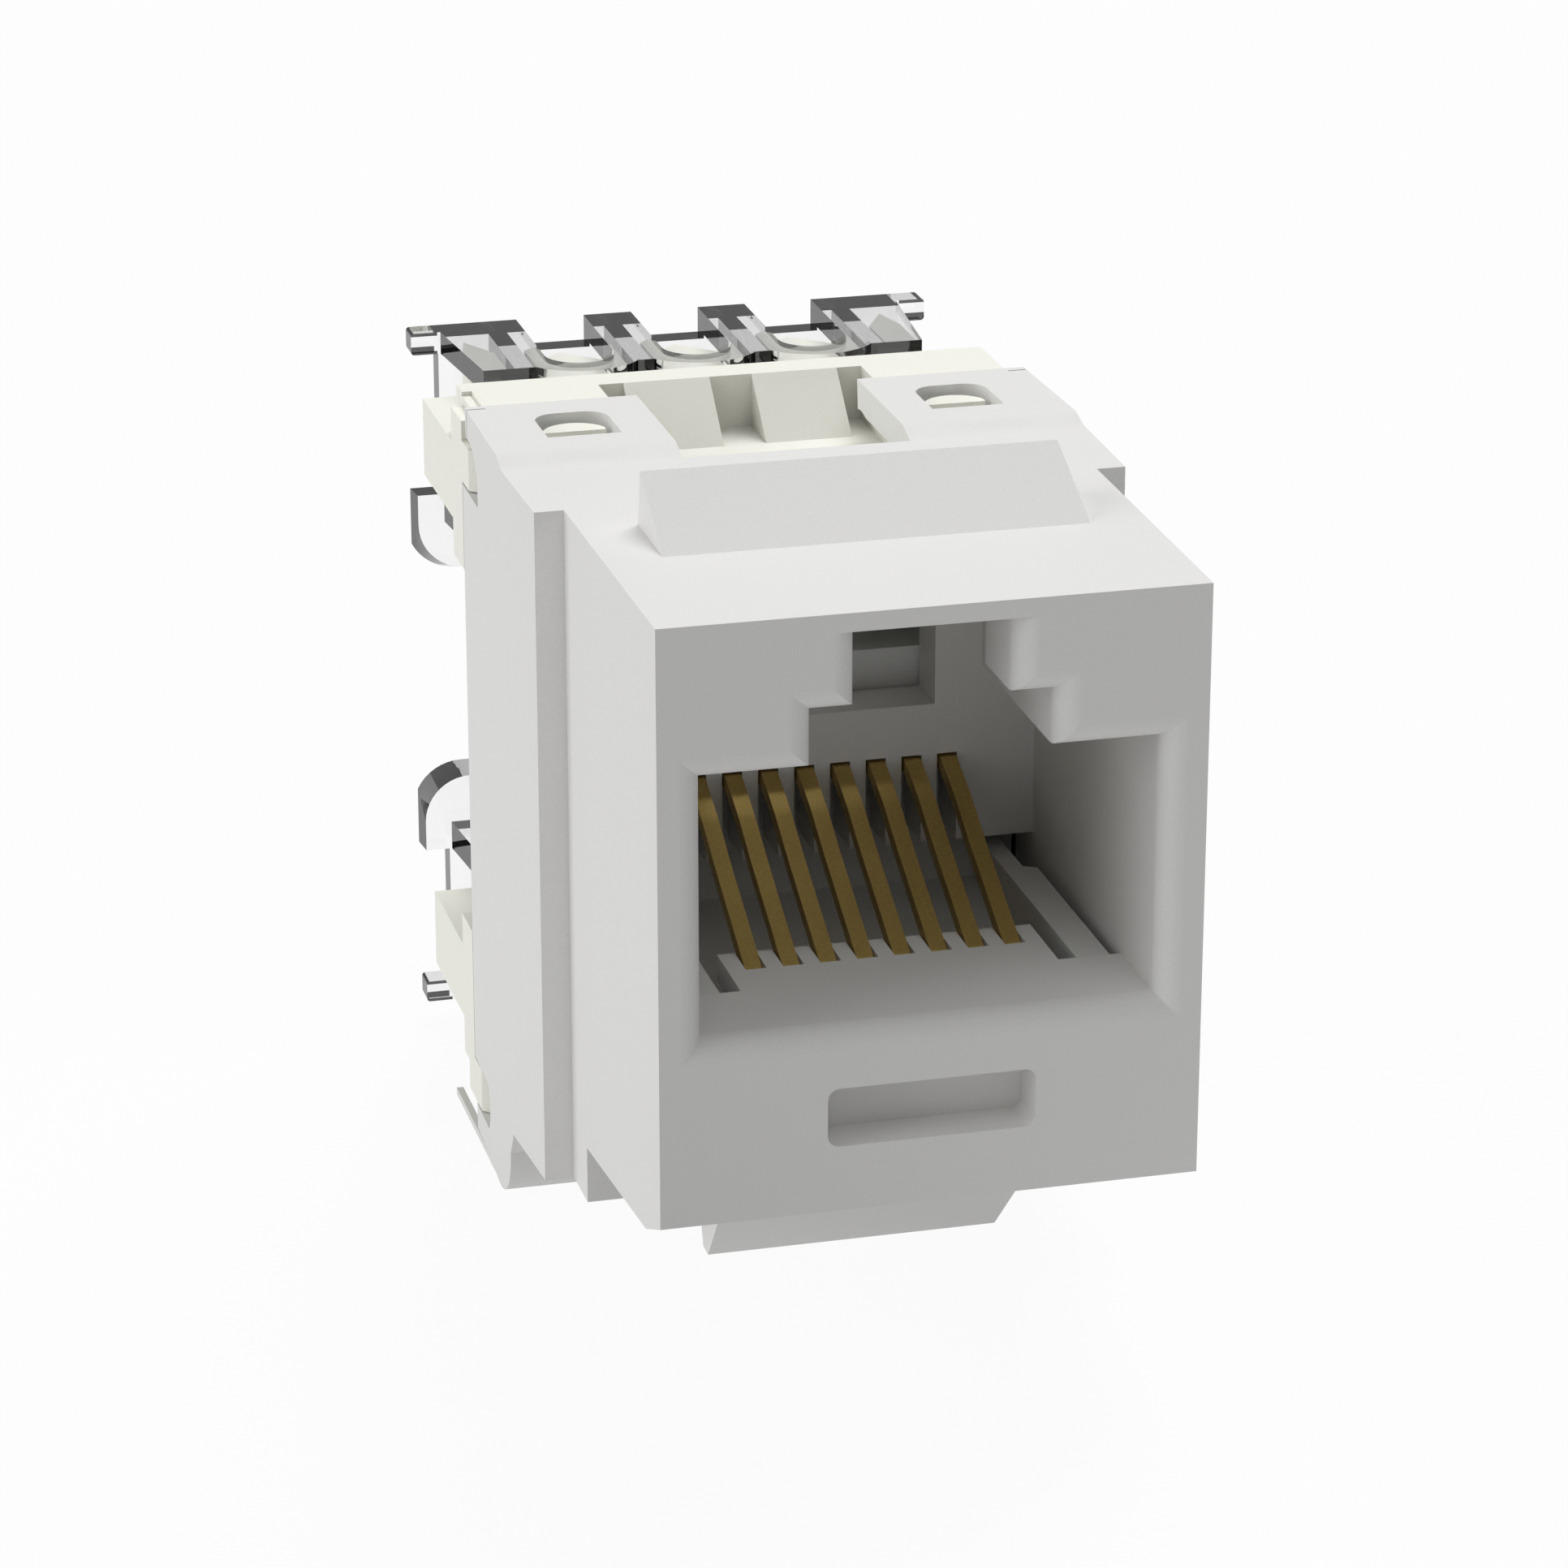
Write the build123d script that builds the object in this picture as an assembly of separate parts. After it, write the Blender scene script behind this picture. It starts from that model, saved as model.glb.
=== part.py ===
from build123d import *
import os
from math import cos, radians

# A keystone jack in millimetres: X to the right, Y towards the rear, Z up.
# The origin is the middle of the front face.

# Barrel, the part that passes through the panel opening
face_width = 14.5
face_height = 16.31
barrel_length = 10.05
side_draft = 0.104
chin_length = 1.6
chin_drop = 0.69
belly_drop = 0.655
spring_room = 1.62
panel_thickness = 1.69

# Fixed lug above the opening and sprung nose below it
lug_width = 11.49
lug_length = 2.84
lug_height = 1.448
lug_side_draft = 0.06
nose_width = 8.2
nose_side_flare = 0.067
nose_reach = 1.71
nose_flat = 0.56
nose_ramp = 2.5
nose_face_draft = 0.07
spring_thickness = 0.95
spring_side_gap = 0.53
spring_root_length = 3.45
relief_height = 2.75
relief_length = 4.76
relief_slope_length = 2.76
relief_front_step = 0.3

# Shoulder and rear shell
shoulder_reach = 0.806
shell_bulge = 0.08
side_taper = 0.04
shell_length = 9.95
shell_wall = 0.96
shell_front_wall = 4.6
shell_lift = 0.22
shell_lift_start = 3.79
shell_lift_length = 1.01
shell_top_wall = 0.925
shell_floor_wall = 1.0
shell_drop = 2.86
shell_tail_setback = 0.2
heel_start = 3.9
heel_step = 0.5
heel_radius = 1.75
shoulder_slope = 0.32
edge_rail_width = 0.2
edge_rail_height = 0.22
edge_rail_root = 4.0
edge_rail_overhang = 2.8

# Pads on the shell's top, the gap between them and the windows in them
pad_setback = 0.55
pad_rear_slant = 0.1
pad_rear_fall = 0.04
pad_slit_setback = 0.32
pad_slit_width = 0.08
pad_slit_length = 0.52
deck_gap_width = 6.42
window_width = 2.08
window_length = 2.28
window_side_margin = 1.65
window_rear_margin = 1.23
window_radius = 0.65

# Snap notches in the rear edges of the shell's sides
notch_depth = 2.35
notch_roof = 0.895
upper_notch_height = 1.53
upper_notch_straight = 0.75
upper_notch_bow = 0.45
lower_notch_height = 1.41
notch_round = 0.25

# Port for the plug, with the two steps for the plug's own latch
port_width = 12.12
port_height = 7.1
port_depth = 11.15
port_edge_radius = 0.6
rim_wall_share = 0.9
tab_way_width = 6.38
tab_way_height = 1.53
tab_way_depth = 6.7
tab_slot_width = 4.13
tab_slot_height = 2.09
tab_slot_depth = 2.65
tab_slot_roof = 0.505
rear_wall = 1.6
rear_wall_gap = 0.46
rear_window_rise = 4.49

# Blind slot for an icon under the port
icon_slot_width = 5.6
icon_slot_height = 1.625
icon_slot_lift = 0.38
icon_slot_depth = 1.3
icon_slot_radius = 0.32

# Comb in the floor of the port, with a channel on each side
side_channel_front = 3.12
side_channel_width = 0.535
comb_front = 4.49
comb_rear = 5.69
comb_thickness = 0.75
comb_slot_width = 0.57

# Spring wires of the plug contacts, with heights from the port's floor
contact_count = 8
contact_pitch = 1.016
wire_width = 0.46
wire_thickness = 0.4
wire_tip_rise = 2.77
wire_tip_length = 1.15
wire_tip_radius = 0.6
wire_shoulder_back = 1.5
wire_shoulder_rise = 2.17
wire_knee_back = 2.9
wire_knee_rise = 1.39
wire_bend_radius = 2.0
wire_nose_drop = 0.35
wire_nose_radius = 0.3
wire_return_drop = 2.63
wire_return_radius = 0.55
wire_tail_drop = 1.25
wire_end_straight = 0.1

# Contact carrier, with heights from the port's floor
rail_width = 0.92
rail_side_gap = 0.28
rail_neck_width = 0.55
rail_neck_back = 1.4
rail_neck_slope = 0.2
carrier_ledge_back = 2.55
carrier_ledge_drop = 1.33
carrier_nose_drop = 1.83
carrier_nose_radius = 0.35
carrier_floor_drop = 3.38
carrier_block_rise = 5.64
carrier_block_drop = 4.43

# Circuit board
board_thickness = 1.2
board_side_gap = 0.3
board_top_gap = 0.19
board_foot_gap = 0.58
tail_hole = 0.76
stem_hole = 1.04
pin_overhang = 0.35
pin_room = 0.2
tail_pocket_margin = 0.8

# Tower block behind the housing
deck_drop = 1.595
deck_thickness = 0.62
shelf_drop = 0.035
shelf_side_setback = 0.4
shelf_dent_width = 0.28
shelf_dent_length = 2.2
shelf_dent_depth = 0.12
block_length = 2.5
recess_width = 7.736
recess_rear_wall = 1.06
ramp_inner = 0.62
ramp_outer = 3.14
ramp_length = 1.74
snap_tab_width = 1.75
snap_tab_length = 0.8
snap_tab_flank = 0.2
snap_tab_front = 1.26
snap_tab_drop = 0.275
cheek_length = 1.55
cheek_height = 4.38
cheek_drop = 0.35
lower_cheek_rise = 1.95
arm_reach = 5.85
arm_height = 2.3
arm_drop = 1.35
lower_arm_rise = 3.05
foot_length = 0.87
catch_front_gap = 0.5
catch_top_gap = 0.28
catch_flat = 0.95

# Towers, wire slots and forked wire contacts
row_contacts = 4
tower_pitch = 3.505
wire_slot_width = 0.9
tower_side_setback = 0.44
tower_reach = 6.0
tower_gable = 1.3
tower_tip_inset = 0.3
blade_thickness = 0.5
blade_width = 2.4
blade_seat = 0.1
blade_reach = 5.1
blade_tip_chamfer = 0.3
fork_length = 3.0
fork_gap = 0.32
fork_mouth = 1.2
fork_mouth_length = 0.7
stem_width = 0.8

# Clear wire caps
cap_side_setback = 0.04
cap_top_setback = 0.505
cap_height = 5.0
cap_tip_gap = 0.35
cap_rear_wall = 0.8
cap_plate_thickness = 0.66
cap_inner_plate_thickness = 0.87
cap_plate_length = 4.35
cap_front_taper = 0.49
cap_notch_width = 2.06
cap_notch_centre = 3.15
cap_notch_wall_drop = 0.76
cap_lobe_radius = 1.9
cap_hook_reach = 0.81
cap_hook_radius = 0.1
cap_grip_reach = 0.72
cap_grip_drop = 2.33
cap_grip_radius = 1.4
cap_grip_side_draft = 0.08
cap_grip_low_draft = 0.24
cap_grip_rear_radius = 1.49
cap_grip_kink = 26
stuffer_width = 0.56
stuffer_setback = 0.1
stuffer_gap = 0.25
cap_clearance = 0.11

# Clearances, and how far joined forms run into each other and cuts run out
fit = 0.05
groove_fit = 0.06
overlap = 1.0

# Heights and stations of the housing
barrel_top = face_height / 2
face_bottom = -face_height / 2
belly_front = face_bottom - chin_drop
belly_rear = belly_front - belly_drop
opening_bottom = belly_rear - spring_room
latch_face_y = barrel_length - panel_thickness
shoulder_half = face_width / 2 + shoulder_reach + side_draft
rear_half = shoulder_half - side_taper
shell_rear = barrel_length + shell_length
shell_inside_half = shoulder_half - shell_wall
shell_inside_front = barrel_length + shell_front_wall
heel_bottom = opening_bottom - shell_drop
shell_inside_bottom = heel_bottom + shell_floor_wall
lift_start = barrel_length + shell_lift_start
pad_rear = shell_rear - pad_setback
pad_top = barrel_top + shell_lift
pad_under = pad_top - shell_top_wall
notch_front = shell_rear - notch_depth
upper_notch_top = pad_top - notch_roof
upper_notch_bottom = upper_notch_top - upper_notch_height
lower_notch_top = shell_inside_bottom + lower_notch_height
window_middle = shoulder_half - window_side_margin - window_width / 2
window_rear = pad_rear - window_rear_margin
window_front = window_rear - window_length

# Heights and stations of the port, the contacts and the board
tab_slot_top = barrel_top - tab_slot_roof
tab_way_top = tab_slot_top - tab_slot_height
port_top = tab_way_top - tab_way_height
port_floor = port_top - port_height
port_half = port_width / 2
rim_radius = min(port_edge_radius, rim_wall_share * (face_width - port_width) / 2)
icon_slot_middle = (port_floor - port_edge_radius + face_bottom) / 2 + icon_slot_lift
rail_outer = port_half - rail_side_gap
rail_inner = rail_outer - rail_width
comb_half = rail_inner - side_channel_width
carrier_floor = port_floor - carrier_floor_drop
carrier_block_bottom = port_floor - carrier_block_drop
chamber_front = port_depth + rear_wall
board_front = shell_inside_front + fit
board_rear = board_front + board_thickness
wire_tip_z = port_floor + wire_tip_rise
wire_return_z = port_floor - wire_return_drop
contact_places = [(i - (contact_count - 1) / 2) * contact_pitch for i in range(contact_count)]

# Heights and stations of the tower block and the caps
deck_floor = barrel_top - deck_drop
deck_under = deck_floor - deck_thickness
deck_top = pad_under - fit
shelf_top = barrel_top - shelf_drop
shelf_half = shoulder_half - shelf_side_setback
shelf_front = pad_rear + fit
block_front = board_rear + fit
block_rear = shell_rear + block_length
block_half = shell_inside_half - 2 * fit
block_bottom = shell_inside_bottom + fit
wing_front = shell_rear + fit
cheek_top = shelf_top - cheek_drop
arm_top = shelf_top - arm_drop
lower_cheek_bottom = heel_bottom + lower_cheek_rise
lower_arm_bottom = heel_bottom + lower_arm_rise
tower_tip = block_rear + tower_reach
cap_half = block_half - cap_side_setback
cap_middle = (pad_top + heel_bottom) / 2
cap_top = pad_top - cap_top_setback
cap_plate_low = cap_top - cap_plate_thickness
cap_inside_bottom = cap_top - cap_height
cap_inside_rear = tower_tip + cap_tip_gap
cap_rear = cap_inside_rear + cap_rear_wall
cap_front = cap_inside_rear - cap_plate_length
tower_top = cap_plate_low - cap_clearance
tower_bottom = cap_inside_bottom + cap_clearance
row_height = (tower_top + tower_bottom) / 2
blade_places = [(i - (row_contacts - 1) / 2) * tower_pitch for i in range(row_contacts)]
tower_places = [(i - (row_contacts - 2) / 2) * tower_pitch for i in range(row_contacts - 1)]


def across(outline, half_width):
    """An outline in (y, z), extruded to both sides."""
    return extrude(Plane.YZ * make_face(outline), half_width, both=True)


def along(outline, start, end):
    """An outline in (x, z), extruded towards the rear."""
    face = Plane.XZ.offset(-start) * make_face(outline)
    return extrude(face, end - start, dir=(0, 1, 0))


def upwards(outline, bottom, top):
    """An outline in (x, y), extruded upwards."""
    return extrude(Plane.XY.offset(bottom) * make_face(outline), top - bottom)


def closed(*points):
    return Polyline(*points, close=True)


def oblong(x_range, z_range):
    (x0, x1), (z0, z1) = x_range, z_range
    return closed((x0, z0), (x1, z0), (x1, z1), (x0, z1))


def both_sides(shape):
    return shape + mirror(shape, Plane.YZ)


def below_middle(shape):
    """The lower row is the upper one turned over about the caps' middle height."""
    return mirror(shape, Plane.XY.offset(cap_middle))


def housing_side_line():
    """Side outline: barrel, panel seat, rounded heel, notched rear edge, lifted deck."""
    heel_top = (barrel_length + heel_start, opening_bottom - shoulder_slope)
    heel_low = (heel_top[0] + heel_step, heel_bottom + heel_radius)
    heel_end = (heel_low[0] + heel_radius, heel_bottom)
    tail_rear = shell_rear - shell_tail_setback
    lower_mid = (lower_notch_top + shell_inside_bottom) / 2
    lift_end = lift_start + shell_lift_length
    upper_notch_end = pad_rear - pad_rear_slant
    front = Polyline(
        (lift_start, barrel_top),
        (0, barrel_top),
        (0, face_bottom),
        (chin_length, belly_front),
        (latch_face_y, belly_rear),
        (latch_face_y, opening_bottom),
        (barrel_length, opening_bottom),
        heel_top,
        heel_low,
    )
    heel = TangentArc(heel_low, heel_end, tangent=(0, -1))
    tail = Polyline(
        heel_end,
        (tail_rear, heel_bottom + shell_tail_setback),
        (tail_rear, shell_inside_bottom),
        (notch_front + notch_round, shell_inside_bottom),
    )
    lower_notch = ThreePointArc(
        (notch_front + notch_round, shell_inside_bottom),
        (notch_front, lower_mid),
        (notch_front + notch_round, lower_notch_top),
    )
    edge = Polyline(
        (notch_front + notch_round, lower_notch_top),
        (shell_rear, lower_notch_top),
        (shell_rear, upper_notch_bottom),
        (notch_front, upper_notch_bottom),
        (notch_front, upper_notch_bottom + upper_notch_straight),
    )
    upper_notch = ThreePointArc(
        (notch_front, upper_notch_bottom + upper_notch_straight),
        (notch_front + upper_notch_bow, upper_notch_top - notch_round),
        (upper_notch_end, upper_notch_top),
    )
    deck = Polyline(
        (upper_notch_end, upper_notch_top),
        (pad_rear, pad_top - pad_rear_fall),
        (lift_end, pad_top),
    )
    lift = Spline((lift_end, pad_top), (lift_start, barrel_top), tangents=((-1, 0), (-1, 0)))
    return [front, heel, tail, lower_notch, edge, upper_notch, deck, lift]


def housing_plan_line():
    """Plan outline: drafted barrel, then the shoulder and the slightly bellied shell."""
    half = face_width / 2
    right = [
        (half, 0),
        (half + side_draft, barrel_length),
        (shoulder_half, barrel_length),
        (shoulder_half + shell_bulge, lift_start),
        (rear_half, shell_rear),
        (rear_half, shell_rear + overlap),
    ]
    left = [(-x, y) for x, y in reversed(right)]
    return closed(*right, *left)


def port_form():
    """The space that the plug fills, with the ways for its latch."""
    main = (-port_half, port_half)
    way = (-tab_way_width / 2, tab_way_width / 2)
    slot = (-tab_slot_width / 2, tab_slot_width / 2)
    space = along(oblong(main, (port_floor, port_top)), 0, port_depth)
    space += along(oblong(way, (port_floor, tab_way_top)), 0, port_depth)
    space += along(oblong(slot, (port_floor, tab_slot_top)), 0, port_depth)
    space += along(oblong(way, (port_floor, tab_slot_top)), tab_slot_depth, port_depth)
    space += along(oblong(main, (port_floor, tab_way_top)), tab_way_depth, port_depth)
    return space


def comb_slots(bottom, top, start, end):
    """One through slot at each contact."""
    half = comb_slot_width / 2
    slot = along(oblong((-half, half), (bottom, top)), start, end)
    return [Pos(x, 0, 0) * slot for x in contact_places]


def floor_opening():
    """Opening in the port's floor for the contact carrier, around the comb tongue."""
    sides = (-port_half, port_half)
    comb = (-comb_half, comb_half)
    low = carrier_floor - fit
    under = port_floor - comb_thickness
    opening = along(oblong(sides, (low, port_floor)), side_channel_front, shell_inside_front)
    tongue = along(oblong(comb, (under, port_floor)), side_channel_front, comb_rear)
    bar = along(oblong(comb, (low, port_floor)), side_channel_front, comb_front)
    for slot in comb_slots(under - overlap, port_floor + overlap, comb_front, comb_rear + overlap):
        tongue -= slot
    return opening - tongue - bar


def rear_wall_openings():
    """Openings behind the port: window over the carrier, gap at the floor, contact slots."""
    way = (-tab_way_width / 2, tab_way_width / 2)
    sides = (-port_half, port_half)
    window_bottom = port_floor + rear_window_rise
    slot_top = wire_tip_z + wire_thickness / 2 + groove_fit
    openings = [
        along(oblong(way, (window_bottom, tab_slot_top)), port_depth - overlap, chamber_front),
        along(oblong(sides, (port_floor, port_floor + rear_wall_gap)), port_depth, board_front),
    ]
    return openings + comb_slots(port_floor, slot_top, port_depth - overlap, chamber_front + fit)


def spring_latch():
    """Living spring under the barrel: root in the heel, tongue, and the ramped nose."""
    spring_top = opening_bottom + spring_thickness
    nose_bottom = opening_bottom - nose_reach
    nose_front = latch_face_y - nose_flat
    root_y = barrel_length + spring_root_length
    line = closed(
        (root_y, spring_top),
        (nose_front - nose_ramp, spring_top),
        (nose_front, nose_bottom),
        (latch_face_y, nose_bottom),
        (latch_face_y + nose_face_draft, opening_bottom),
        (root_y, opening_bottom),
    )
    half = nose_width / 2
    flare = nose_side_flare * (spring_top - nose_bottom)
    outline = closed(
        (-half, nose_bottom),
        (half, nose_bottom),
        (half + flare, spring_top),
        (-half - flare, spring_top),
    )
    return across(line, nose_width) & along(outline, 0, root_y)


def spring_relief():
    """Room round the spring so that it can bend up."""
    root_y = barrel_length + spring_root_length
    front = latch_face_y - relief_length
    roof = opening_bottom + relief_height
    line = closed(
        (front, heel_bottom),
        (front, belly_front + relief_front_step),
        (front + relief_slope_length, roof),
        (root_y, roof),
        (root_y, heel_bottom),
    )
    return across(line, nose_width / 2 + spring_side_gap)


def lug():
    """Fixed lug on top: a ramp that ends square, against the panel."""
    half = lug_width / 2
    lug_top = barrel_top + lug_height
    line = closed(
        (latch_face_y - lug_length, barrel_top), (latch_face_y, barrel_top), (latch_face_y, lug_top)
    )
    outline = closed(
        (-half, barrel_top),
        (half, barrel_top),
        (half - lug_side_draft, lug_top),
        (-half + lug_side_draft, lug_top),
    )
    return across(line, lug_width) & along(outline, 0, barrel_length)


def window_form():
    """Window in a pad: square at the front, rounded at the rear corners."""
    half = window_width / 2
    sides = (window_middle - half, window_middle + half)
    block = along(oblong(sides, (deck_under, pad_top + overlap)), window_front, window_rear)
    corners = block.edges().filter_by(Axis.Z).group_by(Axis.Y)[-1]
    return fillet(corners, window_radius)


def pad_slit():
    """Slit that frees a narrow lip at a pad's outer rear corner."""
    start = pad_rear - pad_slit_setback
    sides = (rear_half - pad_slit_length, rear_half + overlap)
    return along(oblong(sides, (upper_notch_bottom, pad_top + overlap)), start, start + pad_slit_width)


def edge_rail():
    """Thin rail along the shell's lower edge, drawn out behind the shell."""
    line = oblong(
        (shoulder_half - edge_rail_width, shoulder_half), (heel_bottom, heel_bottom + edge_rail_height)
    )
    return along(line, shell_rear - edge_rail_root, shell_rear + edge_rail_overhang)


def housing():
    """White moulding: barrel with the port, shoulder, rear shell, lug and spring latch."""
    body = across(housing_side_line(), 2 * face_width) & upwards(
        housing_plan_line(), heel_bottom - overlap, pad_top + overlap
    )
    inside = (-shell_inside_half, shell_inside_half)
    gap = (-deck_gap_width / 2, deck_gap_width / 2)
    chamber = oblong(inside, (carrier_block_bottom - 2 * fit, pad_under))
    body -= along(chamber, chamber_front, board_front)
    shell = oblong(inside, (shell_inside_bottom, pad_under))
    body -= along(shell, shell_inside_front, shell_rear + overlap)
    body -= port_form()
    body = round_port_edge(body)
    for opening in rear_wall_openings():
        body -= opening
    body -= floor_opening()
    icon = RectangleRounded(icon_slot_width, icon_slot_height, icon_slot_radius)
    icon_face = Plane.XZ.offset(-icon_slot_depth) * Pos(0, icon_slot_middle) * icon
    body -= extrude(icon_face, icon_slot_depth + overlap)
    body -= along(oblong(gap, (deck_floor - fit, pad_top + overlap)), lift_start, shell_rear)
    body -= both_sides(window_form())
    body -= both_sides(pad_slit())
    body -= spring_relief()
    body += spring_latch()
    body += lug()
    body += both_sides(edge_rail())
    return body


def round_port_edge(body):
    """The port's front edge is rounded all round, except at the top of the latch slot."""
    near = fit / 2
    rim = [
        edge
        for edge in body.edges().group_by(Axis.Y)[0]
        if abs(edge.center().X) < port_half + near
        and port_floor - near < edge.center().Z < tab_slot_top - near
        and abs(edge.center().Y) < near
    ]
    return fillet(rim, rim_radius)


def wire_path(tail_z):
    """Centre line of a spring wire, in (y, z): slot end, slope, hairpin, tail."""
    nose_y = comb_front + wire_thickness / 2 + groove_fit
    tail_y = (chamber_front + board_front) / 2
    tail_end = board_rear + pin_overhang
    points = [
        (port_depth + wire_tip_length, wire_tip_z),
        (port_depth - wire_end_straight, wire_tip_z),
        (port_depth - wire_shoulder_back, port_floor + wire_shoulder_rise),
        (port_depth - wire_knee_back, port_floor + wire_knee_rise),
        (nose_y, port_floor - wire_nose_drop),
        (nose_y, wire_return_z),
        (tail_y, wire_return_z),
    ]
    radii = [wire_tip_radius, wire_bend_radius, wire_bend_radius, wire_nose_radius, wire_return_radius]
    if tail_z == wire_return_z:
        points[-1] = (tail_end, wire_return_z)
        return FilletPolyline(*points, radius=radii)
    points += [(tail_y, tail_z), (tail_end, tail_z)]
    return FilletPolyline(*points, radius=radii + [wire_thickness, wire_thickness])


def wire_form(tail_z, clearance=0):
    """A spring wire, or with a clearance the groove that it lies in."""
    outline = trace(wire_path(tail_z), wire_thickness + 2 * clearance)
    return extrude(Plane.YZ * outline, wire_width / 2 + clearance, both=True)


def tail_height(index):
    """The tails stand in two rows in the board, by turns."""
    return wire_return_z - wire_tail_drop * (index % 2)


def carrier_rail():
    """Rail beside the comb, which narrows before the rear wall."""
    rail_front = side_channel_front + fit
    neck_outer = rail_inner + rail_neck_width
    neck_y = port_depth - rail_neck_back
    line = closed(
        (rail_inner, rail_front),
        (rail_outer, rail_front),
        (rail_outer, neck_y),
        (neck_outer, neck_y + rail_neck_slope),
        (neck_outer, chamber_front + fit),
        (rail_inner, chamber_front + fit),
    )
    return both_sides(upwards(line, carrier_floor, port_floor - fit))


def contact_carrier():
    """Moulding that holds the spring wires: base under the comb, rails, rear block."""
    base_front = comb_front + wire_thickness + 2 * groove_fit
    nose_top = port_floor - carrier_nose_drop
    ledge_y = port_depth - carrier_ledge_back
    ledge_top = port_floor - carrier_ledge_drop
    block_face = chamber_front + fit
    side_line = closed(
        (base_front, nose_top),
        (ledge_y, nose_top),
        (ledge_y, ledge_top),
        (block_face, ledge_top),
        (block_face, port_floor + carrier_block_rise),
        (shell_inside_front, port_floor + carrier_block_rise),
        (shell_inside_front, carrier_block_bottom),
        (block_face, carrier_block_bottom),
        (block_face, carrier_floor),
        (base_front, carrier_floor),
    )
    body = across(side_line, port_half - 2 * fit)
    front_edge = body.edges().filter_by(Axis.X).group_by(Axis.Y)[0]
    body = fillet(front_edge, carrier_nose_radius)
    body += carrier_rail()
    for index, x in enumerate(contact_places):
        body -= Pos(x, 0, 0) * wire_form(tail_height(index), groove_fit)
    return body


def board_holes():
    """Plated holes for the wire tails and for the blade stems."""
    tail = Cylinder(tail_hole / 2, 4 * board_thickness, rotation=(90, 0, 0))
    stem = Cylinder(stem_hole / 2, 4 * board_thickness, rotation=(90, 0, 0))
    holes = [Pos(x, board_front, tail_height(i)) * tail for i, x in enumerate(contact_places)]
    for x in blade_places:
        holes.append(Pos(x, board_front, row_height) * stem)
        holes.append(below_middle(Pos(x, board_front, row_height) * stem))
    return holes


def circuit_board():
    """Board that stands upright between the carrier and the tower block."""
    half = shell_inside_half - board_side_gap
    heights = (shell_inside_bottom + board_foot_gap, deck_under - board_top_gap)
    board = along(oblong((-half, half), heights), board_front, board_rear)
    for hole in board_holes():
        board -= hole
    return board


def blade_line(clearance=0):
    """Plan outline of a forked blade, or with a clearance the groove that it lies in."""
    half = blade_width / 2 + clearance
    stem = stem_width / 2 + clearance
    shoulder = block_rear + blade_seat - clearance
    tip = shoulder + blade_reach + 2 * clearance
    right = [(stem, board_front), (stem, shoulder), (half, shoulder)]
    if clearance:
        right.append((half, tip))
    else:
        right += [
            (half, tip - blade_tip_chamfer),
            (half - blade_tip_chamfer, tip),
            (fork_mouth / 2, tip),
            (fork_gap / 2, tip - fork_mouth_length),
            (fork_gap / 2, tip - fork_length),
        ]
    return closed(*right, *[(-x, y) for x, y in reversed(right)])


def wire_contact(clearance=0):
    """Forked blade that cuts through a wire's insulation, upper row, at x = 0."""
    half = blade_thickness / 2 + clearance
    return upwards(blade_line(clearance), row_height - half, row_height + half)


def tower_row():
    """Posts with gabled tips and the wire slots between them, upper row."""
    root = block_rear - overlap
    eave = tower_tip - tower_gable
    half = (tower_pitch - wire_slot_width) / 2
    inner = blade_places[-1] + wire_slot_width / 2
    outer = block_half - tower_side_setback
    post_line = closed((-half, root), (half, root), (half, eave), (0, tower_tip), (-half, eave))
    end_line = closed(
        (inner, root), (outer, root), (outer, eave), (outer - tower_tip_inset, tower_tip), (inner, eave)
    )
    row = both_sides(upwards(end_line, tower_bottom, tower_top))
    for x in tower_places:
        row += Pos(x, 0, 0) * upwards(post_line, tower_bottom, tower_top)
    return row


def side_band(outline):
    """An outline in (y, z) that stands out beside the block, on both sides."""
    face = Plane.YZ.offset(block_half - overlap) * make_face(outline)
    return both_sides(extrude(face, rear_half - block_half + overlap))


def wing(arm_range, cheek_range):
    """Cheek behind the shell's side with the arm that guides the cap."""
    cheek_rear = shell_rear + cheek_length
    arm_rear = shell_rear + arm_reach
    (arm_low, arm_high), (cheek_low, cheek_high) = arm_range, cheek_range
    line = closed(
        (wing_front, cheek_low),
        (cheek_rear, cheek_low),
        (cheek_rear, arm_low),
        (arm_rear, arm_low),
        (arm_rear, arm_high),
        (cheek_rear, arm_high),
        (cheek_rear, cheek_high),
        (wing_front, cheek_high),
    )
    return side_band(line)


def snap_catch(low, high):
    """Ramp that springs into a notch of the shell, on both sides."""
    front = notch_front + catch_front_gap
    crest = rear_half
    line = closed(
        (block_half - overlap, front),
        (block_half, front),
        (crest, wing_front - catch_flat),
        (crest, wing_front),
        (block_half - overlap, wing_front),
    )
    return both_sides(upwards(line, low, high))


def snap_tab():
    """Tab that stands in a pad's window: flat in front, rounded behind."""
    left = window_middle - snap_tab_width / 2
    right = window_middle + snap_tab_width / 2
    front = window_front + snap_tab_front
    flank = front + snap_tab_flank
    straight = Polyline((right, flank), (right, front), (left, front), (left, flank))
    back = ThreePointArc((left, flank), (window_middle, front + snap_tab_length), (right, flank))
    return both_sides(upwards([straight, back], deck_under, pad_top - snap_tab_drop))


def shelf():
    """Shelf behind the pads, with a shallow dent at its left end."""
    top = oblong((-shelf_half, shelf_half), (deck_floor, shelf_top))
    dent = oblong(
        (-shelf_half - overlap, shelf_dent_width - shelf_half),
        (shelf_top - shelf_dent_depth, shelf_top + overlap),
    )
    return along(top, shelf_front, block_rear) - along(dent, shelf_front, shelf_front + shelf_dent_length)


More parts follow.
